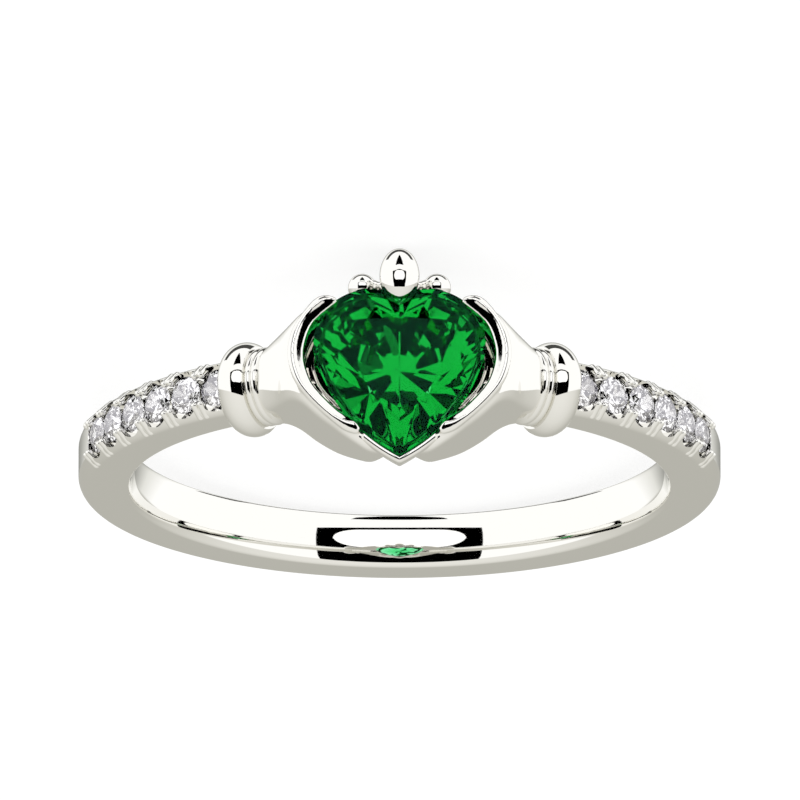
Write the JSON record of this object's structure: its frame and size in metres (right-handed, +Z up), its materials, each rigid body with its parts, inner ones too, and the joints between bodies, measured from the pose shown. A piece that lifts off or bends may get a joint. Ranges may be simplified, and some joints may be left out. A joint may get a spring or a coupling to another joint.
{
  "type": "claddagh ring",
  "caption": "Slim polished silver claddagh ring: two hands hold a faceted green heart stone under a beaded crown, with clear stones set in the shoulders.",
  "frame": {"origin": "middle of the base, on the surface that the ring lies on", "axes": "+Z up, +Y from the heart stone towards the back of the band, X across the ring; the ring lies on its crown and the back of its band, so the finger hole leans 7.6 degrees from Z"},
  "size_m": [0.0208, 0.0228, 0.0072],
  "materials": {
    "silver": "mirror polish under rhodium plating",
    "green_stone": "faceted and polished",
    "clear_stone": "faceted and polished"
  },
  "bodies": {
    "root": {"ring_metal": "silver", "heart_stone": "green_stone", "accent_row_left": "clear_stone", "accent_row_right": "clear_stone"}
  },
  "joints": []
}
